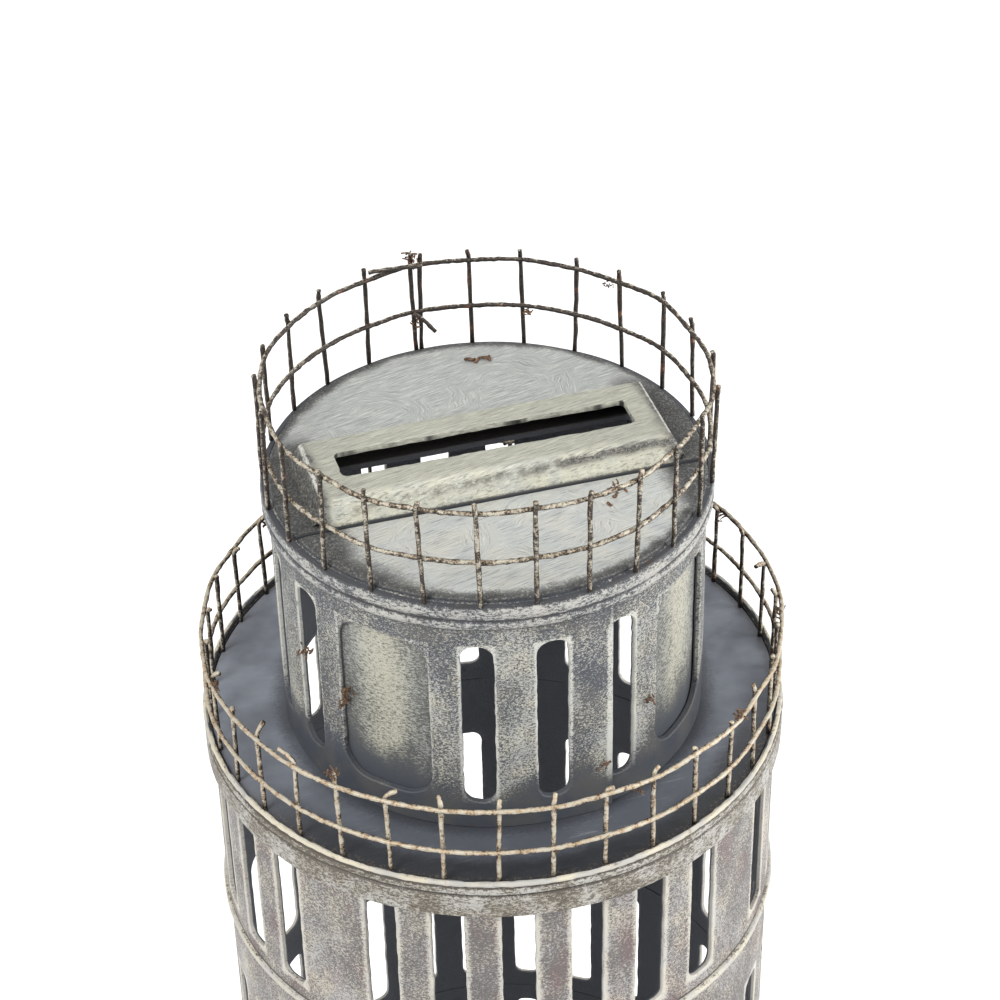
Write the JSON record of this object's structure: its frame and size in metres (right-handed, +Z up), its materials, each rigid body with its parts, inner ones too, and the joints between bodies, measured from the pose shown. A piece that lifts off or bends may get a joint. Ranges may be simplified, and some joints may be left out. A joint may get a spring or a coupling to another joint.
{
  "type": "leaning tower coin bank",
  "caption": "Sheet-metal leaning bell tower with slotted galleries and wire-mesh railings: coins drop through a slot in its roof and leave through a swivelling hatch in its base.",
  "frame": {"origin": "centre of the round base, on the plane of the undersides of its foot pads", "axes": "+Z up, square to the base; the coin slot runs along X; -Y is the front, with the doorway; the tower's own axis leans 4 degrees from +Z towards +Y"},
  "size_m": [0.1128, 0.1128, 0.2833],
  "materials": {
    "felt": "matt felt pad",
    "dark_slate": "dark slate paint over sheet metal, worn pale on its edges",
    "terrace_slate": "satin dark slate paint with faint scuffs",
    "rivet_metal": "aged steel rivet",
    "hatch_metal": "dark painted sheet, rubbed where it slides",
    "door_bronze": "rubbed bronze-brown paint",
    "roof_cream": "thin cream paint brushed in swirls over grey metal",
    "belfry_drybrush": "cream dry-brushing over dark slate, fading to slate at the foot",
    "gallery_drybrush": "warm cream dry-brushing over purple-brown and slate",
    "railing_wire": "dark wire with cream and rust-brown rubbed highlights",
    "band_cream": "cream paint rubbed over dark bands"
  },
  "bodies": {
    "tower": {"foot_pads": "felt", "base_skirt": "dark_slate", "base_edge_wire": "band_cream", "base_plate": "dark_slate", "hatch_rivet": "rivet_metal", "hatch_stops": "rivet_metal", "plinth_ring": "gallery_drybrush", "ground_drum": "gallery_drybrush", "ground_liner": "dark_slate", "ground_door": "door_bronze", "ground_cornice": "gallery_drybrush", "gallery_drum_1": "gallery_drybrush", "gallery_drum_2": "gallery_drybrush", "gallery_drum_3": "gallery_drybrush", "gallery_drum_4": "gallery_drybrush", "gallery_drum_5": "gallery_drybrush", "gallery_drum_6": "gallery_drybrush", "joint_ring_1": "band_cream", "joint_ring_2": "band_cream", "joint_ring_3": "band_cream", "joint_ring_4": "band_cream", "joint_ring_5": "band_cream", "terrace_plate": "terrace_slate", "terrace_band": "band_cream", "terrace_lip_wire": "band_cream", "terrace_rail_hoops": "railing_wire", "terrace_rail_stakes": "railing_wire", "belfry_wall": "belfry_drybrush", "belfry_panels": "belfry_drybrush", "belfry_rim_band": "belfry_drybrush", "roof_disc": "roof_cream", "roof_front_plate": "roof_cream", "coin_box": "roof_cream", "roof_rail_hoops": "railing_wire", "roof_rail_stakes": "railing_wire"},
    "hatch": {"coin_hatch": "hatch_metal"}
  },
  "joints": [
    {"name": "hatch_swivel", "type": "hinge", "parent": "tower", "child": "hatch", "pos_m": [0, 0, 0.01075], "axis": [0, 0, 1], "range_deg": [0, 115]}
  ]
}
